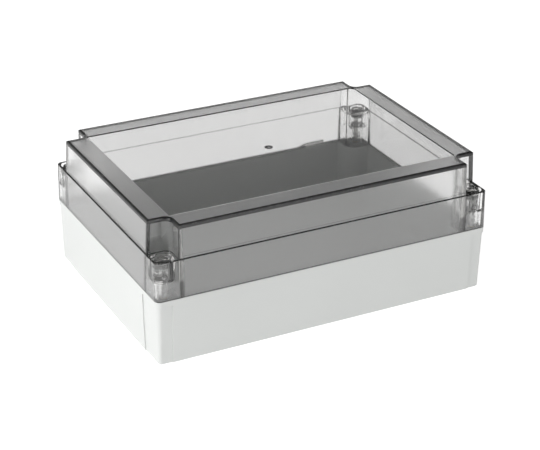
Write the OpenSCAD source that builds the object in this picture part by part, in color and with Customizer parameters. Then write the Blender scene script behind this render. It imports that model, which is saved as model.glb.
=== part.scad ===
// Hinged two-part enclosure: grey base, high clear lid, corner screws, rear hinges.
// The origin is the centre of the base's underside; +X is the long side, -Y the front.

/* [Overall] */
// Outside length along X, at the rim
body_l = 255; // [200:1:320]
// Outside width along Y, at the rim
body_w = 180; // [140:1:240]
// Height of the base, from the table to the rim
base_h = 48; // [38:1:80]
// Height of the lid from the rim to the corner shoulders
lid_lower_h = 28; // [24:1:45]
// Height of the lid from the shoulders to the top
lid_upper_h = 24; // [15:1:60]

/* [Base] */
// Thickness of the base walls, with the seal groove in their top
base_wall = 4.5; // [3.4:0.1:5]
// Thickness of the base floor
floor_t = 3; // [2:0.1:5]
// How far each base wall leans in towards the bottom
base_draft = 1.2; // [0.4:0.1:2]
// Radius of the upright edges at the rim
edge_r = 4; // [2.8:0.1:6]
// How far the wall panels stand proud of the corner strips
panel_proud = 0.7; // [0.3:0.1:1.2]
// Width of a corner strip on the front and back
strip_x = 11.5; // [8:0.5:24]
// Width of a corner strip on the two ends
strip_y = 24; // [8:0.5:34]
// Height of the plain lip under the rim
rim_lip_h = 4; // [3:0.5:8]
// Chamfer on both sides of the joint between base and lid
rim_chamfer = 0.3; // [0.1:0.1:0.5]
// Chamfer round the underside
foot_chamfer = 0.8; // [0.3:0.1:1.5]

/* [Lid] */
// Thickness of the lid walls
lid_wall = 3; // [2.4:0.1:4]
// Thickness of the lid's top outside the window
lid_top_t = 3.5; // [2.6:0.1:5]
// How far the lower lid walls lean in up to the shoulders
lower_draft = 0.5; // [0.2:0.1:1]
// Ledge between the lower and the upper lid walls
shoulder_ledge = 0.7; // [0.5:0.1:1.2]
// Chamfer round the shoulders
shoulder_chamfer = 0.4; // [0.1:0.1:0.5]
// How far the upper lid walls lean in up to the top
upper_draft = 1.2; // [0.4:0.1:2]
// Radius of the lid's top edges
top_r = 2; // [1:0.1:2.4]
// Border between the lid's outline and the sunk window
window_inset = 18; // [14:0.5:30]
// Depth of the sunk window
window_sink = 1; // [0.4:0.1:1.4]
// Diameter of the moulding gate mark in the window
gate_d = 6; // [4:0.5:10]

/* [Corners] */
// Side of the square notch at each corner of the lid
notch = 17.5; // [17:0.1:24]
// Radius in the inner corner of a notch
notch_r = 5; // [3:0.1:7]
// Rounding of the upright edges beside a notch
notch_edge_r = 1; // [0.4:0.1:1.6]
// Distance from the outside faces to a lid screw's axis
screw_inset = 8; // [7.6:0.1:9]
// Diameter of the cup that a lid screw's head sinks into
cup_d = 12.4; // [11:0.1:13]
// Depth of the cup below the shoulder
cup_depth = 13.5; // [11:0.1:16]
// Wall of the cup
cup_wall = 2; // [1.5:0.1:2.4]
// Outside diameter of the guide tube below the cup
tube_d = 9; // [8:0.1:11]
// Diameter of the screw boss in the base
boss_d = 12; // [11:0.1:12]

/* [Lid screws] */
// Diameter of a lid screw's thread
shank_d = 5.2; // [4.4:0.1:5.6]
// Diameter of its waist, which runs in the neck that keeps the screw in the lid
waist_d = 3.4; // [2.6:0.1:3.6]
// Diameter of a lid screw's head
head_d = 10; // [8:0.1:10.6]
// Height of a lid screw's head
head_h = 5; // [3:0.1:6]
// Depth to which a driven lid screw enters its insert
engage = 6; // [4:0.1:9]
// Thickness of the sealing washer under the head
washer_t = 1.2; // [0.8:0.1:2]

/* [Seal] */
// Width of the seal groove
groove_w = 2; // [1.4:0.1:2.4]
// Depth of the seal groove
groove_depth = 2.5; // [1.5:0.1:3.5]

/* [Hinges] */
// Distance from each end to the middle of a hinge
hinge_inset = 41.5; // [34:0.5:75]
// Distance of the hinge axis behind the rear wall
hinge_out = 5.5; // [5:0.1:9]
// Distance of the hinge axis below the rim
hinge_down = 8; // [6:0.1:9]
// Radius of the hinge knuckles
knuckle_r = 4; // [3:0.1:4.4]
// Width of the lid's knuckle
knuckle_w = 16; // [12:1:30]
// Height on the lid's rear wall of the arm that carries a knuckle
arm_h = 3; // [3:0.1:6]
// Width of each ear on the base
ear_w = 8; // [5:0.5:12]
// Diameter of the hinge pins
pin_d = 3; // [2:0.1:4]
// Angle at which the lid's heels meet the base and stop it
open_angle = 110; // [95:1:120]

/* [Mounting] */
// Distance from the two ends to a mounting-plate boss
plate_inset_x = 27.5; // [26.5:0.5:50]
// Distance from the front or back to a mounting-plate boss
plate_inset_y = 30; // [12.5:0.5:50]
// Height of the mounting-plate bosses above the floor
plate_boss_h = 8; // [5:0.5:14]
// Tapping diameter of the brass mounting-plate inserts
plate_tap_d = 3.3; // [2.5:0.1:4.2]
// Diameter of the blind bracket holes under the corners
bracket_d = 4.2; // [3:0.1:5]
// Depth of the bracket holes
bracket_depth = 14; // [8:0.5:18]

/* [Hidden] */
$fn = 64;

over = 1;             // how far a cut runs past the face it opens
seat_clear = 0.02;    // radial fit of the pins and inserts in the pieces that hold them
run_clear = 0.05;     // radial running fit of the knuckles, washers and driven screws
slide_clear = 0.1;    // radial fit of a screw in the lid, and of the seal in its groove
neck_clear = 0.2;     // radial clearance of a screw's waist in its neck
gap = 0.3;            // clearance between pieces that move past each other

shoulder_z = base_h + lid_lower_h;
top_z = shoulder_z + lid_upper_h;
upper_inset = lower_draft + shoulder_ledge;   // upper walls behind the rim outline
cup_floor_z = shoulder_z - cup_depth;
cup_floor_t = 2;
neck_z = cup_floor_z - cup_floor_t;           // underside of the neck, over the wider guide bore
chamber_top_z = shoulder_z - cup_floor_t;
cavity_step_z = shoulder_z + 0.9;             // inner step, in line with the outer one from above

groove_out = lid_wall - groove_w;             // seal groove, flush with the lid wall's inner face
boss_top_z = base_h - gap;
insert_d = shank_d + 2.6;
plate_insert_d = plate_tap_d + 2.7;
plate_boss_d = plate_insert_d + 4;
pocket_floor = 8;                             // solid bottom of the corner chambers

lift = engage + 2 * gap;                      // how far a released lid screw stands up
head_z = cup_floor_z + washer_t + lift;       // underside of a released screw's head
shank_l = head_z - lift - (boss_top_z - engage);

hinge_x = body_l / 2 - hinge_inset;
hinge_y = body_w / 2 + hinge_out;
hinge_z = base_h - hinge_down;
pin_l = knuckle_w + 2 * (gap + ear_w);

base_grey = [0.80, 0.82, 0.81];
smoke = [0.45, 0.44, 0.42, 0.45];
steel = [0.75, 0.76, 0.78];
brass = [0.80, 0.66, 0.32];
seal_grey = [0.78, 0.79, 0.78];

// ---- shapes shared by the pieces ----

// Places children at one of the four corners: sx is -1 left, 1 right; sy is -1 front, 1 rear
module at_corner(sx, sy, inset_x, inset_y) {
    translate([sx * (body_l / 2 - inset_x), sy * (body_w / 2 - inset_y), 0]) children();
}

// Repeats children at the four lid screw axes
module each_screw() {
    for (sx = [-1, 1], sy = [-1, 1]) at_corner(sx, sy, screw_inset, screw_inset) children();
}

// Repeats children at the four mounting-plate bosses
module each_plate_boss() {
    for (sx = [-1, 1], sy = [-1, 1]) at_corner(sx, sy, plate_inset_x, plate_inset_y) children();
}

// Repeats children in the four corners, mirrored so that they are drawn for the +X +Y corner
module each_corner() {
    for (sx = [0, 1], sy = [0, 1]) mirror([sx, 0, 0]) mirror([0, sy, 0]) children();
}

// Trapezoid with its base centred on the origin, narrower by t on each side at height h
module trapezoid(l, h, t) {
    polygon([[-l / 2, 0], [l / 2, 0], [l / 2 - t, h], [-l / 2 + t, h]]);
}

// Extrudes an X-Z outline along Y, centred
module along_y(length) {
    rotate([90, 0, 0]) linear_extrude(length, center = true) children();
}

// Extrudes a Y-Z outline along X, centred
module along_x(length) {
    rotate([90, 0, 90]) linear_extrude(length, center = true) children();
}

// Block with sharp upright edges whose four walls lean in by t over its height, or out if t < 0
module leaning_block(l, w, h, t) {
    intersection() {
        along_y(w + 2 * abs(t)) trapezoid(l, h, t);
        along_x(l + 2 * abs(t)) trapezoid(w, h, t);
    }
}

// The same block with its upright edges rounded: r at the bottom, r - t at the top
module rounded_block(l, w, h, t, r) {
    along_y(w - 2 * r) trapezoid(l, h, t);
    along_x(l - 2 * r) trapezoid(w, h, t);
    for (sx = [-1, 1], sy = [-1, 1])
        translate([sx * (l / 2 - r), sy * (w / 2 - r), 0]) cylinder(h = h, r1 = r, r2 = r - t);
}

// Rectangle with rounded corners, centred
module rounded_rect(l, w, r) {
    square([l - 2 * r, w], center = true);
    square([l, w - 2 * r], center = true);
    for (sx = [-1, 1], sy = [-1, 1]) translate([sx * (l / 2 - r), sy * (w / 2 - r)]) circle(r);
}

// Plan of the space between the corner chambers, a inside the outside faces and the notches
module cross_plan(a, r) {
    rounded_rect(body_l - 2 * a, body_w - 2 * (notch + a), r);
    rounded_rect(body_l - 2 * (notch + a), body_w - 2 * a, r);
    fill_r = notch_r + a;
    each_corner() translate([body_l / 2 - notch - a, body_w / 2 - notch - a])
        difference() {
            translate([-over, -over]) square(fill_r + over);
            translate([fill_r, fill_r]) circle(fill_r);
        }
}

// Plan of the seal's path, narrowed by clear on both sides
module seal_plan(clear) {
    difference() {
        cross_plan(groove_out + clear, groove_w + 1 - clear);
        cross_plan(groove_out + groove_w - clear, 1 + clear);
    }
}

// Plan of a corner notch in the +X +Y corner, reaching out by past the outside faces
module notch_plan(past) {
    translate([body_l / 2 - notch, body_w / 2 - notch]) {
        translate([notch_r, 0]) square([notch - notch_r + past, notch + past]);
        translate([0, notch_r]) square([notch + past, notch - notch_r + past]);
        translate([notch_r, notch_r]) circle(notch_r);
    }
}

// Plan of a corner chamber: the notch plan kept inside the outside walls
module chamber_plan(wall) {
    intersection() {
        notch_plan(0);
        rounded_rect(body_l - 2 * wall, body_w - 2 * wall, edge_r - wall / 2);
    }
}

// What a quarter-round edge of radius r leaves outside it
module edge_waste(r) {
    difference() {
        square(r + over);
        circle(r);
    }
}

// ---- base ----

// Outside of the base, inset all round; the foot's chamfer runs round the underside
module base_block(inset) {
    foot_l = body_l - 2 * (base_draft + inset);
    foot_w = body_w - 2 * (base_draft + inset);
    foot_r = edge_r - base_draft - inset;
    c = foot_chamfer;
    rim_z = base_h - rim_chamfer;
    rounded_block(foot_l - 2 * c, foot_w - 2 * c, c, -c, foot_r - c);
    translate([0, 0, c]) rounded_block(foot_l, foot_w, rim_z - c, -base_draft, foot_r);
    translate([0, 0, rim_z]) rounded_block(body_l - 2 * inset, body_w - 2 * inset, rim_chamfer,
        rim_chamfer, edge_r - inset);
}

// Where the outside stands proud: four wall panels and the lip under the rim
module proud_zone() {
    translate([0, 0, base_h / 2])
        cube([body_l - 2 * strip_x, body_w + over, base_h + over], center = true);
    translate([0, 0, base_h / 2])
        cube([body_l + over, body_w - 2 * strip_y, base_h + over], center = true);
    translate([0, 0, base_h - rim_lip_h])
        linear_extrude(rim_lip_h + over) square([body_l + over, body_w + over], center = true);
}

module base_shell() {
    difference() {
        union() {
            base_block(panel_proud);
            intersection() {
                base_block(0);
                proud_zone();
            }
        }
        translate([0, 0, floor_t]) intersection() {
            linear_extrude(base_h) cross_plan(base_wall, 2);
            leaning_block(body_l - 2 * (base_wall + base_draft), body_w - 2 * (base_wall + base_draft),
                base_h - floor_t + over, -base_draft);
        }
        each_corner() translate([0, 0, pocket_floor]) linear_extrude(base_h) chamber_plan(base_wall);
    }
}

// Side view of a base ear: the knuckle and the web that carries it, from the wall
module ear_profile() {
    circle(knuckle_r);
    root = -hinge_out - base_draft;
    polygon([[root, knuckle_r - 0.6], [0, knuckle_r], [knuckle_r, 0], [knuckle_r * 0.7, -knuckle_r * 0.7],
        [root, -knuckle_r - 10]]);
}

module base() {
    color(base_grey) difference() {
        union() {
            base_shell();
            each_screw() translate([0, 0, pocket_floor - over])
                cylinder(h = boss_top_z - pocket_floor + over, d = boss_d);
            each_plate_boss() translate([0, 0, floor_t - over])
                cylinder(h = plate_boss_h + over, d1 = plate_boss_d + 1, d2 = plate_boss_d);
            for (s = [-1, 1], e = [-1, 1])
                translate([s * hinge_x + e * (knuckle_w / 2 + gap + ear_w / 2), hinge_y, hinge_z])
                    along_x(ear_w) ear_profile();
        }
        translate([0, 0, base_h - groove_depth]) linear_extrude(groove_depth + over) seal_plan(0);
        each_screw() {
            translate([0, 0, boss_top_z - engage])
                cylinder(h = engage + over, d = insert_d + 2 * seat_clear);
            translate([0, 0, boss_top_z - 2 * engage])
                cylinder(h = engage + over, d = shank_d + 2 * slide_clear);
            translate([0, 0, -over]) cylinder(h = bracket_depth + over, d = bracket_d);
        }
        each_plate_boss() translate([0, 0, floor_t])
            cylinder(h = plate_boss_h + over, d = plate_insert_d + 2 * seat_clear);
        for (s = [-1, 1]) translate([s * hinge_x, hinge_y, hinge_z])
            along_x(pin_l + over) circle(d = pin_d + 2 * seat_clear);
    }
}

// ---- lid ----

// X-Z or Y-Z outline of the upper lid: leaning walls with rounded top edges
module roof_profile(length) {
    wall_h = lid_upper_h - top_r;
    lean = upper_draft * wall_h / lid_upper_h;
    width = length - 2 * upper_inset;
    flat_w = width - 2 * lean - 2 * top_r;
    trapezoid(width, wall_h, lean);
    translate([-width / 2, -over]) square([width, over]);
    translate([-flat_w / 2, 0]) square([flat_w, lid_upper_h]);
    for (s = [-1, 1]) translate([s * (flat_w / 2), wall_h]) circle(top_r);
}

// Waste of the rounded edges where the notch walls meet the top, beside the +X +Y corner
module notch_top_waste() {
    reach = notch - notch_r + over;
    from_centre = notch_r + top_r;
    translate([body_l / 2 - notch + notch_r, body_w / 2 - notch + notch_r, lid_upper_h - top_r]) {
        rotate_extrude() translate([from_centre, 0]) mirror([1, 0]) edge_waste(top_r);
        translate([reach / 2, -from_centre, 0]) along_x(reach) edge_waste(top_r);
        translate([-from_centre, reach / 2, 0]) along_y(reach) edge_waste(top_r);
    }
}

// Waste of the upright rounded edges where a notch meets the two outside faces
module notch_side_waste() {
    tilt = atan(upper_draft / lid_upper_h);
    length = lid_upper_h + 4 * over;
    r = notch_edge_r;
    translate([body_l / 2 - notch - r, body_w / 2 - upper_inset, 0]) rotate([tilt, 0, 0])
        translate([0, -r, -2 * over]) linear_extrude(length) edge_waste(r);
    translate([body_l / 2 - upper_inset, body_w / 2 - notch - r, 0]) rotate([0, -tilt, 0])
        translate([-r, 0, -2 * over]) linear_extrude(length) edge_waste(r);
}

// Upper lid outside, from the shoulders up, with its notches and rounded edges
module upper_block() {
    difference() {
        intersection() {
            along_y(body_w) roof_profile(body_l);
            along_x(body_l) roof_profile(body_w);
        }
        each_corner() {
            translate([0, 0, -2 * over]) linear_extrude(lid_upper_h + 4 * over) notch_plan(over);
            notch_top_waste();
            notch_side_waste();
        }
    }
}

// Lower lid outside: a chamfer at the joint, the leaning walls and a chamfer round the shoulders
module lower_block() {
    c = rim_chamfer;
    top_c = shoulder_chamfer;
    rounded_block(body_l - 2 * c, body_w - 2 * c, c, -c, edge_r - c);
    translate([0, 0, c]) rounded_block(body_l, body_w, lid_lower_h - c - top_c, lower_draft, edge_r);
    translate([0, 0, lid_lower_h - top_c]) rounded_block(body_l - 2 * lower_draft,
        body_w - 2 * lower_draft, top_c, top_c, edge_r - lower_draft);
}

module lid_shell() {
    difference() {
        union() {
            translate([0, 0, base_h]) lower_block();
            translate([0, 0, shoulder_z]) upper_block();
        }
        lid_cavity();
        each_corner() chamber_cut();
        translate([0, 0, top_z - window_sink]) linear_extrude(window_sink + over)
            rounded_rect(body_l - 2 * window_inset, body_w - 2 * window_inset, 1);
    }
}

// Space inside the seal: straight beside the notches, leaning with the outside walls
module lid_cavity() {
    lower_l = body_l - 2 * lid_wall;
    lower_w = body_w - 2 * lid_wall;
    lean = lower_draft * (cavity_step_z - base_h) / lid_lower_h;
    upper_h = top_z - lid_top_t - cavity_step_z;
    intersection() {
        translate([0, 0, base_h - over]) linear_extrude(lid_lower_h + lid_upper_h) cross_plan(lid_wall, 2);
        union() {
            translate([0, 0, base_h - over]) cube([lower_l, lower_w, 2 * over], center = true);
            translate([0, 0, base_h]) leaning_block(lower_l, lower_w, cavity_step_z - base_h, lean);
            translate([0, 0, cavity_step_z - over]) leaning_block(lower_l - 2 * upper_inset,
                lower_w - 2 * upper_inset, upper_h + over, upper_draft);
        }
    }
}

// Chamber outside the seal, left open round the screw cup and its guide tube
module chamber_cut() {
    difference() {
        translate([0, 0, base_h - over]) linear_extrude(chamber_top_z - base_h + over)
            chamber_plan(lid_wall);
        translate([body_l / 2 - screw_inset, body_w / 2 - screw_inset, 0]) {
            translate([0, 0, base_h]) cylinder(h = lid_lower_h, d = tube_d);
            translate([0, 0, cup_floor_z - cup_floor_t]) cylinder(h = cup_floor_t, r1 = tube_d / 2 + 2,
                d2 = cup_d + 2 * cup_wall);
            translate([0, 0, cup_floor_z]) cylinder(h = cup_depth, d = cup_d + 2 * cup_wall);
        }
    }
}

// Side view of the lid's knuckle: the arm that carries it and the heel that stops the lid
module knuckle_profile() {
    root = -hinge_out - lid_wall + over;
    circle(knuckle_r);
    polygon([[-knuckle_r, 0], [-knuckle_r, hinge_down + gap], [root, hinge_down + gap],
        [root, hinge_down + arm_h], [-hinge_out, hinge_down + arm_h],
        [knuckle_r, hinge_down + arm_h - 6.5], [knuckle_r, 0]]);
    rotate(open_angle - 180) translate([0, -1.5]) square([hinge_out - gap, 3]);
}

// Dimple round the cut-off stub of the moulding gate, in the window's surface
module gate_mark() {
    depth = 0.6;
    stub_d = gate_d / 2;
    difference() {
        translate([0, 0, -depth]) cylinder(h = 2 * depth, d1 = gate_d - depth, d2 = gate_d + depth);
        translate([0, 0, -2 * depth])
            cylinder(h = 2 * depth, d1 = stub_d + 2 * depth, d2 = stub_d - 2 * depth);
    }
}

module lid() {
    color(smoke) difference() {
        union() {
            lid_shell();
            for (s = [-1, 1]) translate([s * hinge_x, hinge_y, hinge_z])
                along_x(knuckle_w) knuckle_profile();
        }
        each_screw() {
            translate([0, 0, cup_floor_z]) cylinder(h = cup_depth + over, d = cup_d);
            translate([0, 0, base_h - over]) cylinder(h = lid_lower_h, d = waist_d + 2 * neck_clear);
            translate([0, 0, base_h - over])
                cylinder(h = neck_z - base_h + over, d = shank_d + 2 * slide_clear);
        }
        translate([0, 0, top_z - window_sink]) gate_mark();
        for (s = [-1, 1]) translate([s * hinge_x, hinge_y, hinge_z])
            along_x(knuckle_w + over) circle(d = pin_d + 2 * run_clear);
    }
}

// ---- seal, pins, screws and inserts ----

module gasket() {
    color(seal_grey) translate([0, 0, base_h - groove_depth])
        linear_extrude(groove_depth) seal_plan(slide_clear);
}

// Plain hinge pin with a small lead at each end; s is -1 left, 1 right
module hinge_pin(s) {
    lead = 0.4;
    color(steel) translate([s * hinge_x, hinge_y, hinge_z]) rotate([0, 90, 0]) {
        translate([0, 0, -pin_l / 2 + lead]) cylinder(h = pin_l - 2 * lead, d = pin_d);
        for (m = [0, 1]) mirror([0, 0, m]) translate([0, 0, pin_l / 2 - lead])
            cylinder(h = lead, d1 = pin_d, d2 = pin_d - 2 * lead);
    }
}

// Captive slotted lid screw, drawn released: its tip clears the base, its head stays in the cup
// and its thread can't rise past the neck
module lid_screw(sx, sy) {
    lead = 0.8;
    thread_top = engage + 3 - shank_l;
    slot_w = 1.6;
    slot_depth = 2;
    rim = 0.8;
    color(smoke) at_corner(sx, sy, screw_inset, screw_inset) translate([0, 0, head_z]) difference() {
        rotate_extrude() polygon([[0, head_h], [head_d / 2 - rim, head_h], [head_d / 2, head_h - rim],
            [head_d / 2, 0], [waist_d / 2, 0], [waist_d / 2, thread_top], [shank_d / 2, thread_top - lead],
            [shank_d / 2, -shank_l + lead], [shank_d / 2 - lead, -shank_l], [0, -shank_l]]);
        translate([0, 0, head_h]) cube([head_d + over, slot_w, 2 * slot_depth], center = true);
    }
}

// Sealing washer on a screw's shank, under its head
module screw_washer(sx, sy) {
    hole_r = waist_d / 2 + run_clear;
    outer_r = head_d / 2 - 0.6;
    round_r = washer_t / 2;
    color(seal_grey) at_corner(sx, sy, screw_inset, screw_inset) translate([0, 0, head_z - washer_t])
        rotate_extrude() {
            translate([hole_r, 0]) square([outer_r - round_r - hole_r, washer_t]);
            translate([outer_r - round_r, round_r]) circle(round_r);
        }
}

// Brass bush with a waist that its boss grips: outer diameter d, bore, height h
module brass_insert(d, bore, h) {
    groove = 0.4;
    color(brass) rotate_extrude() polygon([[bore / 2, 0], [d / 2, 0], [d / 2, h * 0.4],
        [d / 2 - groove, h * 0.4 + groove], [d / 2 - groove, h * 0.6 - groove], [d / 2, h * 0.6],
        [d / 2, h], [bore / 2, h]]);
}

module screw_insert(sx, sy) {
    at_corner(sx, sy, screw_inset, screw_inset) translate([0, 0, boss_top_z - engage])
        brass_insert(insert_d, shank_d + 2 * run_clear, engage);
}

module plate_insert(sx, sy) {
    at_corner(sx, sy, plate_inset_x, plate_inset_y) translate([0, 0, floor_t])
        brass_insert(plate_insert_d, plate_tap_d, plate_boss_h);
}

base();
lid();
gasket();
hinge_pin(-1);  // hinge_pin_left
hinge_pin(1);  // hinge_pin_right
lid_screw(-1, -1);  // lid_screw_front_left
lid_screw(1, -1);  // lid_screw_front_right
lid_screw(-1, 1);  // lid_screw_rear_left
lid_screw(1, 1);  // lid_screw_rear_right
screw_washer(-1, -1);  // screw_washer_front_left
screw_washer(1, -1);  // screw_washer_front_right
screw_washer(-1, 1);  // screw_washer_rear_left
screw_washer(1, 1);  // screw_washer_rear_right
screw_insert(-1, -1);  // screw_insert_front_left
screw_insert(1, -1);  // screw_insert_front_right
screw_insert(-1, 1);  // screw_insert_rear_left
screw_insert(1, 1);  // screw_insert_rear_right
plate_insert(-1, -1);  // plate_insert_front_left
plate_insert(1, -1);  // plate_insert_front_right
plate_insert(-1, 1);  // plate_insert_rear_left
plate_insert(1, 1);  // plate_insert_rear_right
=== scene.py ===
import math
import bmesh
import bpy
from mathutils import Matrix, Vector


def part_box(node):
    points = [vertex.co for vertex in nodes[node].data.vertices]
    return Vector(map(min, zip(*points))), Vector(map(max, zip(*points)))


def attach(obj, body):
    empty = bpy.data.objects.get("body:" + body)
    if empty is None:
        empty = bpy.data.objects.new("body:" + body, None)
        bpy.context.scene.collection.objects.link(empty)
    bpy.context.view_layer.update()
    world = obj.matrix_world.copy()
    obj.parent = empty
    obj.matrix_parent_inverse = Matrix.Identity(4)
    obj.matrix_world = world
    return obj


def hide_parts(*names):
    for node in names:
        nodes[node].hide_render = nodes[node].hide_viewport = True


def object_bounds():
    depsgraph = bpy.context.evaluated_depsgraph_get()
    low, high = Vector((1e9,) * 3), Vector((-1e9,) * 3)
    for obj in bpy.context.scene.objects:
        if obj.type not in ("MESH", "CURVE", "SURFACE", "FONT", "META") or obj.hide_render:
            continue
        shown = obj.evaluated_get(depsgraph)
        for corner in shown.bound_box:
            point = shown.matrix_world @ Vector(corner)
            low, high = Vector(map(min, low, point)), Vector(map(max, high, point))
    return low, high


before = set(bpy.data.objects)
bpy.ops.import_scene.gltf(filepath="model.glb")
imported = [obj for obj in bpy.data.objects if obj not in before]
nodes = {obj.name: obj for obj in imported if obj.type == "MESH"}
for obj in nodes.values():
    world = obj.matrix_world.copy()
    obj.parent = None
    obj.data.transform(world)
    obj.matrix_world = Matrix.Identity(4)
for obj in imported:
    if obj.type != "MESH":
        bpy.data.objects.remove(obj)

cadBounds = [list(corner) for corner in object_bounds()]
mm = 0.001
mergeDistance = 0.001 * mm
sharpAngle = math.radians(35)           # edges that turn by more stay sharp
plainWhite = (1, 1, 1, 1)

# places that several pieces share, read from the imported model
baseLow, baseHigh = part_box("base")
gasketLow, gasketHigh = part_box("gasket")
rimZ = gasketHigh.z                     # where the lid meets the base
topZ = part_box("lid")[1].z
halfLength = baseHigh.x
halfWidth = -baseLow.y                  # the front wall; the hinges stick out at the rear
corners = ("front_left", "front_right", "rear_left", "rear_right")


# colours are sRGB hex values, turned to the linear values that shaders want
def hexColour(text):
    values = [int(text[i:i + 2], 16) / 255 for i in (1, 3, 5)]
    return tuple(v / 12.92 if v <= 0.04045 else ((v + 0.055) / 1.055) ** 2.4 for v in values) + (1,)


def newMaterial(name):
    material = bpy.data.materials.new(name)
    material.use_nodes = True
    tree = material.node_tree
    tree.nodes.clear()
    return material, tree


# one node with its settings, its input values and its links
def addNode(tree, kind, settings=None, values=None, links=None):
    node = tree.nodes.new("ShaderNode" + kind)
    for name, value in (settings or {}).items():
        setattr(node, name, value)
    for name, value in (values or {}).items():
        node.inputs[name].default_value = value
    for name, source in (links or {}).items():
        tree.links.new(source, node.inputs[name])
    return node


studio = {
    "worldFill": 0.55,
    # how bright the room looks to gloss and glass, by the sine of the height above the horizon
    "roomSteps": [(0.0, 1.0), (0.12, 1.0), (0.3, 0.3), (0.5, 0.1), (0.9, 0.12)],
    "floorColour": "#F2F2F2", "floorHalf": 4, "floorGapMm": 0.2,
    "floorAside": 0.8,                      # keeps the seam of its two triangles off the object
    "floorGlow": 0.54, "floorGlowThroughGlass": 0.5,
    "closeGlow": 0.4, "closeGlowMm": 2,     # lights the underside, which stands just above it
}


def makeWorld():
    world = bpy.data.worlds.new("paleStudio")
    bpy.context.scene.world = world
    world.use_nodes = True
    tree = world.node_tree
    tree.nodes.clear()
    direction = addNode(tree, "TexCoord")
    split = addNode(tree, "SeparateXYZ", links={"Vector": direction.outputs["Generated"]})
    ramp = addNode(tree, "ValToRGB", links={"Fac": split.outputs["Z"]})
    steps = ramp.color_ramp.elements
    while len(steps) < len(studio["roomSteps"]):
        steps.new(0.5)
    for step, (height, level) in zip(steps, studio["roomSteps"]):
        step.position = height
        step.color = (level, level, level, 1)
    path = addNode(tree, "LightPath").outputs
    seen = addNode(tree, "Math", {"operation": "MAXIMUM"}, links={
        0: path["Is Glossy Ray"], 1: path["Is Transmission Ray"]})
    room = addNode(tree, "Background", links={"Color": ramp.outputs["Color"]})
    fill = addNode(tree, "Background", values={
        "Color": plainWhite, "Strength": studio["worldFill"]})
    ground = addNode(tree, "Background", values={"Color": plainWhite, "Strength": 1})
    lit = addNode(tree, "MixShader", links={
        0: seen.outputs[0], 1: fill.outputs[0], 2: room.outputs[0]})
    shown = addNode(tree, "MixShader", links={
        0: path["Is Camera Ray"], 1: lit.outputs[0], 2: ground.outputs[0]})
    addNode(tree, "OutputWorld", links={"Surface": shown.outputs[0]})


# white paper that is open from below, so that views from under it show the underside
def makeFloor():
    mesh = bpy.data.meshes.new("studioFloor")
    shape = bmesh.new()
    bmesh.ops.create_grid(shape, x_segments=1, y_segments=1, size=studio["floorHalf"])
    shape.to_mesh(mesh)
    shape.free()
    floor = bpy.data.objects.new("studioFloor", mesh)
    bpy.context.scene.collection.objects.link(floor)
    floor.location = (studio["floorAside"], 0, cadBounds[0][2] - studio["floorGapMm"] * mm)
    material, tree = newMaterial("paperSweep")
    path = addNode(tree, "LightPath").outputs
    seen = addNode(tree, "Math", {"operation": "MAXIMUM"}, links={
        0: path["Is Camera Ray"], 1: path["Is Glossy Ray"]})
    straight = addNode(tree, "Math", {"operation": "MULTIPLY"}, {1: studio["floorGlow"]}, {
        0: seen.outputs[0]})
    through = addNode(tree, "Math", {"operation": "MULTIPLY"}, {
        1: studio["floorGlowThroughGlass"]}, {0: path["Is Transmission Ray"]})
    glow = addNode(tree, "Math", {"operation": "MAXIMUM"}, links={
        0: straight.outputs[0], 1: through.outputs[0]})
    close = addNode(tree, "Math", {"operation": "LESS_THAN"}, {1: studio["closeGlowMm"] * mm}, {
        0: path["Ray Length"]})
    bounced = addNode(tree, "Math", {"operation": "MULTIPLY"}, links={
        0: close.outputs[0], 1: path["Is Diffuse Ray"]})
    strength = addNode(tree, "Math", {"operation": "MULTIPLY_ADD"}, {1: studio["closeGlow"]}, {
        0: bounced.outputs[0], 2: glow.outputs[0]})
    paper = addNode(tree, "BsdfDiffuse", values={"Color": hexColour(studio["floorColour"])})
    light = addNode(tree, "Emission", values={"Color": plainWhite}, links={
        "Strength": strength.outputs[0]})
    both = addNode(tree, "AddShader", links={0: paper.outputs[0], 1: light.outputs[0]})
    under = addNode(tree, "NewGeometry").outputs["Backfacing"]
    clear = addNode(tree, "BsdfTransparent")
    sheet = addNode(tree, "MixShader", links={0: under, 1: both.outputs[0], 2: clear.outputs[0]})
    addNode(tree, "OutputMaterial", links={"Surface": sheet.outputs[0]})
    mesh.materials.append(material)


# square lamps aimed at the middle of the rim, with side lengths in metres
lamps = {
    "leftSoftbox": {"place": (-1.6, -0.3, 0.7), "size": 0.9, "watts": 18.6},
    "frontSoftbox": {"place": (0.5, -1.7, 0.8), "size": 0.9, "watts": 6.2},
}


def makeLamp(name):
    s = lamps[name]
    lamp = bpy.data.lights.new(name, "AREA")
    lamp.shape = "SQUARE"
    lamp.size = s["size"]
    lamp.energy = s["watts"]
    holder = bpy.data.objects.new(name, lamp)
    bpy.context.scene.collection.objects.link(holder)
    holder.location = s["place"]
    holder.visible_transmission = False     # the clear lid shows the pale room, not the lamps
    aim = Vector((0, 0, rimZ)) - Vector(s["place"])
    holder.rotation_euler = aim.to_track_quat("-Z", "Y").to_euler()


cameraSettings = {
    "azimuth": -27.426, "elevation": 26.275, "roll": 0.522,     # degrees
    "distance": 1.2093, "clipEnd": 20,                          # metres
    "lens": 111.85, "sensor": 36,                               # millimetres
    "aimRight": 0.0013, "aimUp": -0.0112,                       # metres from the object's middle
}


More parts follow.
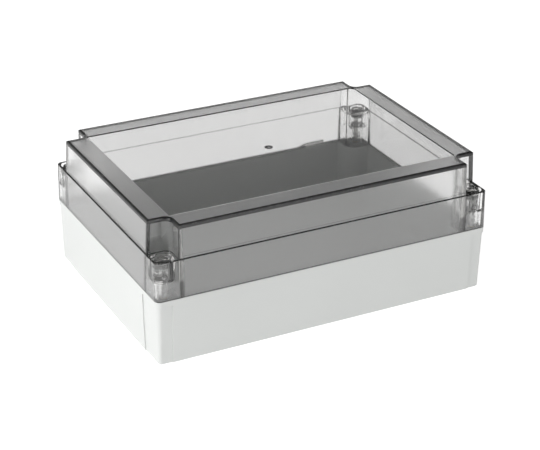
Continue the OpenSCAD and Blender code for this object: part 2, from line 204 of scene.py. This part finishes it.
def makeCamera():
    s = cameraSettings
    azimuth, elevation, roll = (math.radians(s[k]) for k in ("azimuth", "elevation", "roll"))
    back = Vector((math.sin(azimuth) * math.cos(elevation),
                   -math.cos(azimuth) * math.cos(elevation), math.sin(elevation)))
    right = Vector((math.cos(azimuth), math.sin(azimuth), 0))
    up = back.cross(right)
    right, up = (right * math.cos(roll) + up * math.sin(roll),
                 up * math.cos(roll) - right * math.sin(roll))
    middle = (gasketLow + gasketHigh) / 2
    aim = Vector((middle.x, middle.y, topZ / 2)) + right * s["aimRight"] + up * s["aimUp"]
    turn = Matrix((right, up, back)).transposed().to_4x4()
    data = bpy.data.cameras.new("camera")
    data.lens = s["lens"]
    data.sensor_width = s["sensor"]
    data.clip_end = s["clipEnd"]
    camera = bpy.data.objects.new("camera", data)
    bpy.context.scene.collection.objects.link(camera)
    camera.matrix_world = Matrix.Translation(aim + back * s["distance"]) @ turn
    bpy.context.scene.camera = camera


print("studio")
makeWorld()
makeFloor()
for name in lamps:
    makeLamp(name)
makeCamera()


# Light-grey polycarbonate, injection moulded in a finely spark-eroded mould: dull sheen, faint
# grain and slight flow shading. Real grain is finer, and is drawn coarse enough to show.
basePlastic = {
    "colour": "#D8DAD8", "shade": "#D2D4D2",
    "ior": 1.585, "roughness": 0.42, "roughnessSpread": 0.07,
    "grainMm": 0.8, "grainDetail": 3, "grainRoughness": 0.6, "grainDepthMm": 0.02, "grainBump": 0.5,
    "flowMm": 60, "flowDetail": 2,
}


def makeBasePlastic():
    s = basePlastic
    material, tree = newMaterial("basePolycarbonateMoulded")
    place = addNode(tree, "TexCoord").outputs["Object"]
    grain = addNode(tree, "TexNoise", values={
        "Scale": 1 / (s["grainMm"] * mm), "Detail": s["grainDetail"],
        "Roughness": s["grainRoughness"]}, links={"Vector": place}).outputs["Fac"]
    flow = addNode(tree, "TexNoise", values={
        "Scale": 1 / (s["flowMm"] * mm), "Detail": s["flowDetail"]},
        links={"Vector": place}).outputs["Fac"]
    tint = addNode(tree, "Mix", {"data_type": "RGBA"}, {
        6: hexColour(s["colour"]), 7: hexColour(s["shade"])}, {0: flow}).outputs[2]
    rough = addNode(tree, "MapRange", values={
        "To Min": s["roughness"] - s["roughnessSpread"],
        "To Max": s["roughness"] + s["roughnessSpread"]}, links={"Value": grain}).outputs["Result"]
    bump = addNode(tree, "Bump", values={
        "Strength": s["grainBump"], "Distance": s["grainDepthMm"] * mm},
        links={"Height": grain}).outputs["Normal"]
    shader = addNode(tree, "BsdfPrincipled", values={"IOR": s["ior"]}, links={
        "Base Color": tint, "Roughness": rough, "Normal": bump})
    addNode(tree, "OutputMaterial", links={"Surface": shader.outputs[0]})
    return material


# Smoke-tinted polycarbonate: polished window and corner cups, satin top edges, finely frosted
# border, faintly frosted outside walls, so things inside show crisply from above and softly from
# the side. Shade is painted into its base colour by place: along the rounded top edges, for the
# light that a thick clear edge loses, as lines at the shoulders, the rim joint and the step inside
# the end walls, and growing towards the upright edges of the notches. The sprue's stub is darkened.
lidPlastic = {
    "ior": 1.585,
    "smoke": "#D0CFCC", "density": 45,
    "polished": 0.03, "wallRoughness": 0.24, "borderRoughness": 0.45, "edgeRoughness": 0.3,
    "wallHaze": 0.12, "borderHaze": 0.06,   # the share of light that the frosting scatters
    # painted shade: the colour mixed into the base colour over the top edges, lines and notches
    "edgeTint": "#1C1C1C",
    "frostMm": 0.8, "frostDepthMm": 0.01, "frostDetail": 3,     # drawn coarse enough to show
    "etching": 0.3, "unevenness": 0.15,
    "flatMm": 0.03,                         # faces within this of a height count as lying at it
    "wallMm": 2.6,                          # a little over how far the outside walls lean in
    "armMm": 0.1,                           # a hinge arm stands out from the rear wall by more
    "cornerMm": 17.5, "cupDepthMm": 39,     # corners are polished down to this depth under the top
    "windowMm": 1,                          # how far the window is sunk
    "edgeMm": 2.8,                          # height of the rounded top edges
    "shoulderMm": 24, "chamferMm": 0.42,    # depth of the shoulders, and half the height of their painted shade line
    "jointMm": 0.75,                        # half the height of the painted shade line at the rim
    "notchMm": 17.5,                        # size of the notches in the corners
    "notchShadeMm": 3.3, "notchSlackMm": 0.1,               # the painted shade towards their upright edges
    "stepMm": 23.1, "stepLineMm": 0.3, "stepWallMm": 4.4,   # the step inside the end walls, with its painted shade line
    "gateMm": 3.2, "gateShade": 0.7,        # the cut-off stub of the sprue, darkened by this share
}


def makeLidPlastic():
    s = lidPlastic
    # the same sizes in metres
    m = {key[:-2]: value * mm for key, value in s.items() if key.endswith("Mm")}
    material, tree = newMaterial("lidPolycarbonateSmoked")
    place = addNode(tree, "TexCoord").outputs["Object"]
    size = addNode(tree, "VectorMath", {"operation": "ABSOLUTE"}, links={0: place}).outputs[0]
    axis = addNode(tree, "SeparateXYZ", links={0: size}).outputs
    notchX, notchY = halfLength - m["notch"], halfWidth - m["notch"]
    clamped = ("notchX", "notchY")
    # masks by place, each row naming its operation and what it works on
    masks = {name: axis[name] for name in ("X", "Y", "Z")}
    for name, operation, a, b in (
            ("wallX", "GREATER_THAN", "X", halfLength - m["wall"]),
            ("wallY", "GREATER_THAN", "Y", halfWidth - m["wall"]),
            ("atWall", "MAXIMUM", "wallX", "wallY"),
            ("cornerX", "GREATER_THAN", "X", halfLength - m["corner"]),
            ("cornerY", "GREATER_THAN", "Y", halfWidth - m["corner"]),
            ("atCorner", "MULTIPLY", "cornerX", "cornerY"),
            ("cupHeight", "GREATER_THAN", "Z", topZ - m["cupDepth"]),
            ("atCup", "MULTIPLY", "atCorner", "cupHeight"),
            ("nearTop", "GREATER_THAN", "Z", topZ - m["edge"]),
            ("notWall", "MAXIMUM", "atCup", "nearTop"),
            ("hazy", "GREATER_THAN", "atWall", "notWall"),
            ("hingeArm", "GREATER_THAN", "Y", halfWidth + m["arm"]),
            ("hazy", "GREATER_THAN", "hazy", "hingeArm"),
            ("border", "GREATER_THAN", "Z", topZ - m["flat"]),
            ("fromWindow", "SUBTRACT", "Z", topZ - m["window"]),
            ("fromWindow", "ABSOLUTE", "fromWindow", 0),
            ("window", "LESS_THAN", "fromWindow", m["flat"]),
            ("topFaces", "MAXIMUM", "border", "window"),
            ("topEdge", "GREATER_THAN", "nearTop", "topFaces"),
            ("fromShoulder", "SUBTRACT", "Z", topZ - m["shoulder"]),
            ("fromShoulder", "ABSOLUTE", "fromShoulder", 0),
            ("shoulder", "LESS_THAN", "fromShoulder", m["chamfer"]),
            ("cupRim", "LESS_THAN", "fromShoulder", m["flat"]),
            ("cupRim", "MULTIPLY", "cupRim", "atCorner"),
            ("shoulder", "GREATER_THAN", "shoulder", "cupRim"),
            ("fromRim", "SUBTRACT", "Z", rimZ),
            ("fromRim", "ABSOLUTE", "fromRim", 0),
            ("joint", "LESS_THAN", "fromRim", m["joint"]),
            ("joint", "GREATER_THAN", "joint", "hingeArm"),
            ("rimFace", "LESS_THAN", "fromRim", m["flat"]),
            ("joint", "GREATER_THAN", "joint", "rimFace"),
            ("lines", "MAXIMUM", "shoulder", "joint"),
            ("wallLines", "MULTIPLY", "atWall", "lines"),
            ("notchX", "SUBTRACT", "X", notchX - m["notchShade"]),
            ("notchX", "DIVIDE", "notchX", m["notchShade"]),
            ("beyondX", "GREATER_THAN", "X", notchX + m["notchSlack"]),
            ("notchX", "SUBTRACT", "notchX", "beyondX"),
            ("notchX", "MULTIPLY", "notchX", "wallY"),
            ("notchY", "SUBTRACT", "Y", notchY - m["notchShade"]),
            ("notchY", "DIVIDE", "notchY", m["notchShade"]),
            ("beyondY", "GREATER_THAN", "Y", notchY + m["notchSlack"]),
            ("notchY", "SUBTRACT", "notchY", "beyondY"),
            ("notchY", "MULTIPLY", "notchY", "wallX"),
            ("notches", "MAXIMUM", "notchX", "notchY"),
            ("fromStep", "SUBTRACT", "Z", topZ - m["step"]),
            ("fromStep", "ABSOLUTE", "fromStep", 0),
            ("step", "LESS_THAN", "fromStep", m["stepLine"]),
            ("endWall", "GREATER_THAN", "X", halfLength - m["stepWall"]),
            ("step", "MULTIPLY", "step", "endWall"),
            ("gateX", "LESS_THAN", "X", m["gate"] / 2),
            ("gateY", "LESS_THAN", "Y", m["gate"] / 2),
            ("gate", "MULTIPLY", "gateX", "gateY"),
            ("gate", "MULTIPLY", "gate", "window"),
            ("gate", "MULTIPLY", "gate", s["gateShade"]),
            # painted shade: the rounded top edges, the shoulder, joint and step lines, the notches
            # and the sprue stub
            ("dark", "MAXIMUM", "topEdge", "wallLines"),
            ("dark", "MAXIMUM", "dark", "step"),
            ("dark", "MAXIMUM", "dark", "notches"),
            ("dark", "MAXIMUM", "dark", "gate")):
        terms = list(enumerate((a, b)))
        masks[name] = addNode(
            tree, "Math", {"operation": operation, "use_clamp": name in clamped},
            {i: term for i, term in terms if not isinstance(term, str)},
            {i: masks[term] for i, term in terms if isinstance(term, str)}).outputs[0]

    rough = addNode(tree, "MapRange", values={
        "To Min": s["polished"], "To Max": s["wallRoughness"]},
        links={"Value": masks["hazy"]}).outputs[0]
    for mask, level in (("border", "borderRoughness"), ("topEdge", "edgeRoughness")):
        rough = addNode(tree, "Mix", {"data_type": "FLOAT"}, {3: s[level]}, {
            0: masks[mask], 2: rough}).outputs[0]
    grain = addNode(tree, "TexNoise", values={
        "Scale": 1 / m["frost"], "Detail": s["frostDetail"]},
        links={"Vector": place}).outputs["Fac"]
    uneven = addNode(tree, "MapRange", values={
        "To Min": 1 - s["unevenness"], "To Max": 1 + s["unevenness"]},
        links={"Value": grain}).outputs[0]
    rough = addNode(tree, "Math", {"operation": "MULTIPLY"}, links={0: rough, 1: uneven}).outputs[0]
    etched = addNode(tree, "Math", {"operation": "MULTIPLY"}, {1: s["etching"]}, {
        0: masks["border"]}).outputs[0]
    bump = addNode(tree, "Bump", values={"Distance": m["frostDepth"]}, links={
        "Strength": etched, "Height": grain}).outputs["Normal"]
    clear = addNode(tree, "MapRange", values={"To Min": 1, "To Max": 1 - s["wallHaze"]}, links={
        "Value": masks["hazy"]}).outputs[0]
    clear = addNode(tree, "Mix", {"data_type": "FLOAT"}, {3: 1 - s["borderHaze"]}, {
        0: masks["border"], 2: clear}).outputs[0]
    # the painted shade darkens the base colour wherever the dark mask is set
    tint = addNode(tree, "Mix", {"data_type": "RGBA"}, {
        6: plainWhite, 7: hexColour(s["edgeTint"])}, {0: masks["dark"]}).outputs[2]

    shader = addNode(tree, "BsdfPrincipled", values={"IOR": s["ior"]}, links={
        "Base Color": tint, "Roughness": rough, "Transmission Weight": clear, "Normal": bump})
    smoke = addNode(tree, "VolumeAbsorption", values={
        "Color": hexColour(s["smoke"]), "Density": s["density"]})
    addNode(tree, "OutputMaterial", links={
        "Surface": shader.outputs[0], "Volume": smoke.outputs[0]})
    return material


# Smoked polyamide, moulded and left glossy: cloudier than the lid, with an uneven gloss
screwPlastic = {
    "ior": 1.53, "colour": "#E6E6E4", "clear": 0.95,
    "roughness": 0.14, "roughnessSpread": 0.1, "cloudMm": 3, "cloudDetail": 3,
    "smoke": "#BEBDBB", "density": 70,
}


def makeScrewPlastic():
    s = screwPlastic
    material, tree = newMaterial("screwPolyamideSmoked")
    place = addNode(tree, "TexCoord").outputs["Object"]
    cloud = addNode(tree, "TexNoise", values={
        "Scale": 1 / (s["cloudMm"] * mm), "Detail": s["cloudDetail"]},
        links={"Vector": place}).outputs["Fac"]
    rough = addNode(tree, "MapRange", values={
        "To Min": s["roughness"] - s["roughnessSpread"],
        "To Max": s["roughness"] + s["roughnessSpread"]}, links={"Value": cloud}).outputs["Result"]
    shader = addNode(tree, "BsdfPrincipled", values={
        "Base Color": hexColour(s["colour"]), "IOR": s["ior"], "Transmission Weight": s["clear"]},
        links={"Roughness": rough})
    smoke = addNode(tree, "VolumeAbsorption", values={
        "Color": hexColour(s["smoke"]), "Density": s["density"]})
    addNode(tree, "OutputMaterial", links={
        "Surface": shader.outputs[0], "Volume": smoke.outputs[0]})
    return material


# Closed-cell polyurethane foam for the seal and silicone for the washers: dull, with a fine
# pitted skin on the foam and a dusty bloom on the silicone
softShared = {"ior": 1.45, "cellBump": 0.7, "bloomMm": 4, "bloomDetail": 4}
softParts = {
    "seal": softShared | {"name": "sealFoam", "colour": "#C6C9C6", "shade": "#AEB1AE",
                          "roughness": 0.85, "cellMm": 0.35, "cellDepthMm": 0.08},
    "washer": softShared | {"name": "washerSilicone", "colour": "#B2B5B3", "shade": "#9DA09E",
                            "roughness": 0.6, "cellMm": 0.9, "cellDepthMm": 0.01},
}


def makeSoft(kind):
    s = softParts[kind]
    material, tree = newMaterial(s["name"])
    place = addNode(tree, "TexCoord").outputs["Object"]
    cells = addNode(tree, "TexVoronoi", values={"Scale": 1 / (s["cellMm"] * mm)}, links={
        "Vector": place}).outputs["Distance"]
    bloom = addNode(tree, "TexNoise", values={
        "Scale": 1 / (s["bloomMm"] * mm), "Detail": s["bloomDetail"]},
        links={"Vector": place}).outputs["Fac"]
    tint = addNode(tree, "Mix", {"data_type": "RGBA"}, {
        6: hexColour(s["colour"]), 7: hexColour(s["shade"])}, {0: bloom}).outputs[2]
    bump = addNode(tree, "Bump", values={
        "Strength": s["cellBump"], "Distance": s["cellDepthMm"] * mm},
        links={"Height": cells}).outputs["Normal"]
    shader = addNode(tree, "BsdfPrincipled", values={
        "Roughness": s["roughness"], "IOR": s["ior"]}, links={"Base Color": tint, "Normal": bump})
    addNode(tree, "OutputMaterial", links={"Surface": shader.outputs[0]})
    return material


# Drawn stainless steel for the pins, with fine lines along them, and pale turned brass for the
# inserts, tumbled to a slightly dulled surface, with fine lines round them
metalShared = {"roughnessSpread": 0.08, "lineDetail": 3, "lineDepthMm": 0.01, "lineBump": 0.4}
metals = {
    "pin": metalShared | {"name": "pinStainlessDrawn", "colour": "#BFC0C2", "shade": "#A7A8AA",
                          "roughness": 0.28, "metal": 1, "stretch": (0.02, 1, 1), "lineMm": 0.25},
    "insert": metalShared | {"name": "insertBrassTurned", "colour": "#D2C497", "shade": "#BAAB7E",
                             "roughness": 0.36, "metal": 0.75, "stretch": (0.03, 0.03, 1),
                             "lineMm": 0.3},
}


def makeMetal(kind):
    s = metals[kind]
    material, tree = newMaterial(s["name"])
    place = addNode(tree, "TexCoord").outputs["Object"]
    along = addNode(tree, "Mapping", values={"Scale": s["stretch"]}, links={
        "Vector": place}).outputs[0]
    lines = addNode(tree, "TexNoise", values={
        "Scale": 1 / (s["lineMm"] * mm), "Detail": s["lineDetail"]},
        links={"Vector": along}).outputs["Fac"]
    tint = addNode(tree, "Mix", {"data_type": "RGBA"}, {
        6: hexColour(s["colour"]), 7: hexColour(s["shade"])}, {0: lines}).outputs[2]
    rough = addNode(tree, "MapRange", values={
        "To Min": s["roughness"] - s["roughnessSpread"],
        "To Max": s["roughness"] + s["roughnessSpread"]}, links={"Value": lines}).outputs["Result"]
    bump = addNode(tree, "Bump", values={
        "Strength": s["lineBump"], "Distance": s["lineDepthMm"] * mm},
        links={"Height": lines}).outputs["Normal"]
    shader = addNode(tree, "BsdfPrincipled", values={"Metallic": s["metal"]}, links={
        "Base Color": tint, "Roughness": rough, "Normal": bump})
    addNode(tree, "OutputMaterial", links={"Surface": shader.outputs[0]})
    return material


# gives a CAD node's slots a material
def paint(name, material):
    for slot in nodes[name].material_slots:
        slot.material = material


print("materials")
clearPlastic = makeLidPlastic()
screwMaterial = makeScrewPlastic()
foam = makeSoft("seal")
silicone = makeSoft("washer")
steel = makeMetal("pin")
turnedBrass = makeMetal("insert")
paint("base", makeBasePlastic())
paint("lid", clearPlastic)
for side in ("left", "right"):
    paint("hinge_pin_" + side, steel)
for corner in corners:
    paint("screw_washer_" + corner, silicone)


# a finished bmesh becomes a piece that rides on a body in a CAD node's stead
def finishPiece(name, shape, material, body, node):
    mesh = bpy.data.meshes.new(name)
    shape.to_mesh(mesh)
    shape.free()
    mesh.materials.append(material)
    mesh.shade_smooth()
    mesh.set_sharp_from_angle(angle=sharpAngle)
    piece = bpy.data.objects.new(name, mesh)
    bpy.context.scene.collection.objects.link(piece)
    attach(piece, body)
    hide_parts(node)


# an outline of (radius, height) points in mm, to be spun round Z
def drawOutline(points, closed):
    shape = bmesh.new()
    verts = [shape.verts.new((r * mm, 0, z * mm)) for r, z in points]
    ends = verts[1:] + verts[:1] if closed else verts[1:]
    edges = [shape.edges.new(pair) for pair in zip(verts, ends)]
    return shape, verts, edges


def spinOutline(points, steps, closed=False):
    shape, verts, edges = drawOutline(points, closed)
    bmesh.ops.spin(shape, geom=verts + edges, cent=(0, 0, 0), axis=(0, 0, 1), angle=2 * math.pi,
                   steps=steps, use_merge=True)
    bmesh.ops.remove_doubles(shape, verts=shape.verts, dist=mergeDistance)
    bmesh.ops.recalc_face_normals(shape, faces=shape.faces)
    return shape


# a right-hand thread ridge from root to crest radius, its ends run out to points
def spinThread(root, crest, halfRoot, halfCrest, pitch, low, turns, steps):
    shape, verts, edges = drawOutline((
        (root, low - halfRoot), (crest, low - halfCrest),
        (crest, low + halfCrest), (root, low + halfRoot)), True)
    made = bmesh.ops.spin(shape, geom=verts + edges, cent=(0, 0, 0), axis=(0, 0, 1),
                          angle=2 * math.pi * turns, steps=round(turns * steps),
                          dvec=(0, 0, pitch * mm / steps))
    last = [item for item in made["geom_last"] if isinstance(item, bmesh.types.BMVert)]
    for end in (verts, last):
        middle = (end[0].co + end[3].co) / 2
        bmesh.ops.pointmerge(shape, verts=end, merge_co=middle)
    bmesh.ops.recalc_face_normals(shape, faces=shape.faces)
    return shape


# one bmesh joined to another or cut by it
def carve(shape, tool, operation):
    made = []
    for part in (shape, tool):
        mesh = bpy.data.meshes.new("carving")
        part.to_mesh(mesh)
        part.free()
        made.append(bpy.data.objects.new("carving", mesh))
        bpy.context.scene.collection.objects.link(made[-1])
    modifier = made[0].modifiers.new("carve", "BOOLEAN")
    modifier.object, modifier.operation, modifier.solver = made[1], operation, "EXACT"
    result = bmesh.new()
    result.from_object(made[0], bpy.context.evaluated_depsgraph_get())
    for item in made:
        mesh = item.data
        bpy.data.objects.remove(item)
        bpy.data.meshes.remove(mesh)
    return result


def moved(shape, place):
    copy = shape.copy()
    bmesh.ops.translate(copy, verts=copy.verts, vec=place)
    return copy


# captive screw: slotted head, thin waist that lets it hang in the lid, coarse thread at the tip
lidScrew = {
    "headMm": 10, "headHeightMm": 5, "rimMm": 0.8, "breakMm": 0.2, "slotMm": 1.6, "slotDepthMm": 2,
    "waistMm": 3.4, "filletMm": 0.3, "coreMm": 4, "taperMm": 0.5, "leadMm": 0.8, "tipMm": 0.1,
    "threadMm": 5.2, "pitchMm": 3.3, "threadLengthMm": 9, "turns": 1.85,
    # thickness of the thread at its root and crest, its sink into the core, its start's height
    "ridgeMm": 1.5, "crestMm": 0.4, "sinkMm": 0.15, "startMm": 1.7,
    "steps": 64, "threadSteps": 32,
}


def makeLidScrew(length):
    s = lidScrew
    head, waist, core = s["headMm"] / 2, s["waistMm"] / 2, s["coreMm"] / 2
    rim, edge, fillet = s["rimMm"], s["breakMm"], s["filletMm"]
    lead, tip = s["leadMm"], s["tipMm"]
    under = length - s["headHeightMm"]
    top = s["threadLengthMm"]
    shape = spinOutline([
        (0, length), (head - rim, length), (head - rim / 4, length - rim / 4), (head, length - rim),
        (head, under + edge), (head - edge, under),
        (waist + fillet, under), (waist, under - fillet), (waist, top),
        (core, top - s["taperMm"]), (core, lead), (core - lead, tip), (core - lead - tip, 0),
        (0, 0)], s["steps"])
    ridge = spinThread(core - s["sinkMm"], s["threadMm"] / 2, s["ridgeMm"] / 2, s["crestMm"] / 2,
                       s["pitchMm"], s["startMm"], s["turns"], s["threadSteps"])
    shape = carve(shape, ridge, "UNION")
    cutter = bmesh.new()
    bmesh.ops.create_cube(cutter, size=1)
    bmesh.ops.scale(cutter, verts=cutter.verts, vec=(
        2 * s["headMm"] * mm, s["slotMm"] * mm, 2 * s["slotDepthMm"] * mm))
    bmesh.ops.translate(cutter, verts=cutter.verts, vec=(0, 0, length * mm))
    return carve(shape, cutter, "DIFFERENCE")


# turned insert: two knurled bands with a groove between, a chamfered bore with its thread cut in;
# the shares are of its height for a band, and of the pitch for the thread's section and start
insertShared = {
    "grooveMm": 0.4, "bandShare": 0.4, "skinMm": 0.05,
    "rootShare": 0.28, "crestShare": 0.06, "startShare": 0.25, "sinkMm": 0.1, "threadSteps": 24,
}
screwInsert = insertShared | {"outerMm": 7.8, "boreMm": 5.3, "chamferMm": 0.35,
                              "knurls": 40, "knurlMm": 0.12, "pitchMm": 3.3, "threadMm": 0.3}
plateInsert = insertShared | {"outerMm": 6, "boreMm": 3.3, "chamferMm": 0.3,
                              "knurls": 32, "knurlMm": 0.1, "pitchMm": 0.7, "threadMm": 0.28}


def makeInsert(s, height):
    outer, bore, c, pitch = s["outerMm"] / 2, s["boreMm"] / 2, s["chamferMm"], s["pitchMm"]
    neck = outer - s["grooveMm"]
    lower, upper = height * s["bandShare"], height * (1 - s["bandShare"])
    shape = spinOutline([
        (bore + c, 0), (outer - c, 0), (outer, c), (outer, lower), (neck, lower + s["grooveMm"]),
        (neck, upper - s["grooveMm"]), (outer, upper), (outer, height - c), (outer - c, height),
        (bore + c, height), (bore, height - c), (bore, c)], 2 * s["knurls"], closed=True)
    turn = math.pi / s["knurls"]
    valleys = [v for v in shape.verts if v.co.xy.length > (outer - s["skinMm"]) * mm
               and round(math.atan2(v.co.y, v.co.x) / turn) % 2]
    inward = 1 - s["knurlMm"] / outer
    bmesh.ops.scale(shape, verts=valleys, vec=(inward, inward, 1))
    start = pitch * s["startShare"]
    turns = (height - 2 * c - 2 * start) / pitch
    groove = spinThread(bore - s["sinkMm"], bore + s["threadMm"], pitch * s["rootShare"],
                        pitch * s["crestShare"], pitch, c + start, turns, s["threadSteps"])
    return carve(shape, groove, "DIFFERENCE")


# seal bead: the foamed strip in its groove, with its top rounded as it was laid
sealBead = {"crownMm": 0.7, "steps": 4, "flatDegrees": 1, "topMm": 0.01, "edgeRadians": 1}


def makeSealBead():
    s = sealBead
    shape = bmesh.new()
    shape.from_mesh(nodes["gasket"].data)
    bmesh.ops.remove_doubles(shape, verts=shape.verts, dist=mergeDistance)
    bmesh.ops.dissolve_limit(shape, angle_limit=math.radians(s["flatDegrees"]),
                             verts=shape.verts, edges=shape.edges)
    top = [e for e in shape.edges if min(v.co.z for v in e.verts) > gasketHigh.z - s["topMm"] * mm
           and len(e.link_faces) == 2 and e.calc_face_angle() > s["edgeRadians"]]
    bmesh.ops.bevel(shape, geom=top, offset=s["crownMm"] * mm, affect="EDGES", segments=s["steps"],
                    profile=0.5, material=-1, clamp_overlap=True)
    return shape


print("screws and inserts")
screwLow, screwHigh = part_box("lid_screw_front_left")
screwShape = makeLidScrew((screwHigh.z - screwLow.z) / mm)
insertLow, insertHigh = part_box("screw_insert_front_left")
insertShape = makeInsert(screwInsert, (insertHigh.z - insertLow.z) / mm)
plateLow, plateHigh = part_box("plate_insert_front_left")
plateShape = makeInsert(plateInsert, (plateHigh.z - plateLow.z) / mm)
for corner in corners:
    for node, shape, material, body, slot in (
            ("lid_screw_" + corner, screwShape, screwMaterial, "screw_" + corner, "screw_plastic"),
            ("screw_insert_" + corner, insertShape, turnedBrass, "root", "brass"),
            ("plate_insert_" + corner, plateShape, turnedBrass, "root", "brass")):
        low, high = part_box(node)
        foot = Vector(((low.x + high.x) / 2, (low.y + high.y) / 2, low.z))
        finishPiece(node + "_detail", moved(shape, foot), material, body, node)
for shape in (screwShape, insertShape, plateShape):
    shape.free()

print("seal")
finishPiece("seal_bead", makeSealBead(), foam, "root", "gasket")

bpy.context.scene.view_settings.view_transform = "Standard"
